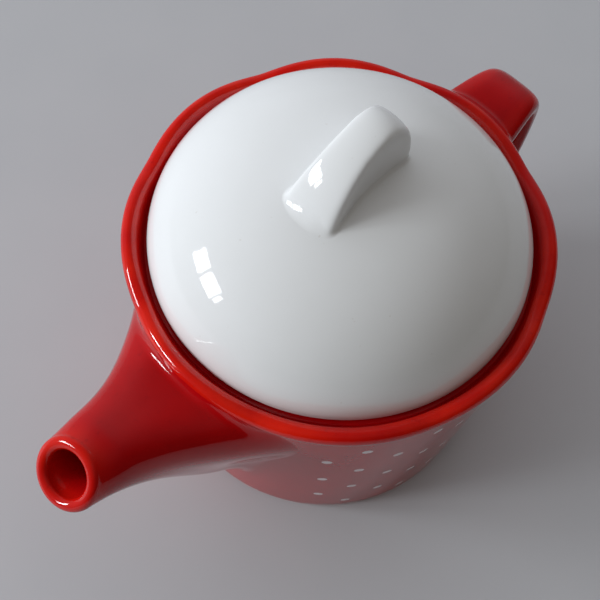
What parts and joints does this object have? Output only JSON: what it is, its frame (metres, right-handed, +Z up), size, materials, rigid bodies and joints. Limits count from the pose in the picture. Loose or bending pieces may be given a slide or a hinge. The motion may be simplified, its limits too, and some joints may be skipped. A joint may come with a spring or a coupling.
{
  "type": "teapot",
  "caption": "Glazed ceramic teapot with a softly scalloped rim, a tall swept spout, a strap handle and a domed lift-off lid with an arched knob.",
  "frame": {"origin": "centre of the foot ring, on the plane the pot stands on and on the axis of the round body", "axes": "+Z up along the axis of the body and lid, +X towards the spout, -X towards the handle, +Y to the left when looking along the spout"},
  "size_m": [0.2347, 0.152, 0.1738],
  "materials": {
    "red_glaze": "gloss",
    "white_glaze": "gloss"
  },
  "bodies": {
    "pot": {"pot_body": "red_glaze", "spout": "red_glaze", "handle": "red_glaze"},
    "lid": {"lid": "white_glaze", "lid_knob": "white_glaze"}
  },
  "joints": [
    {"name": "lid_lift", "type": "slide", "parent": "pot", "child": "lid", "axis": [0, 0, 1], "range_m": [0, 0.06]}
  ]
}
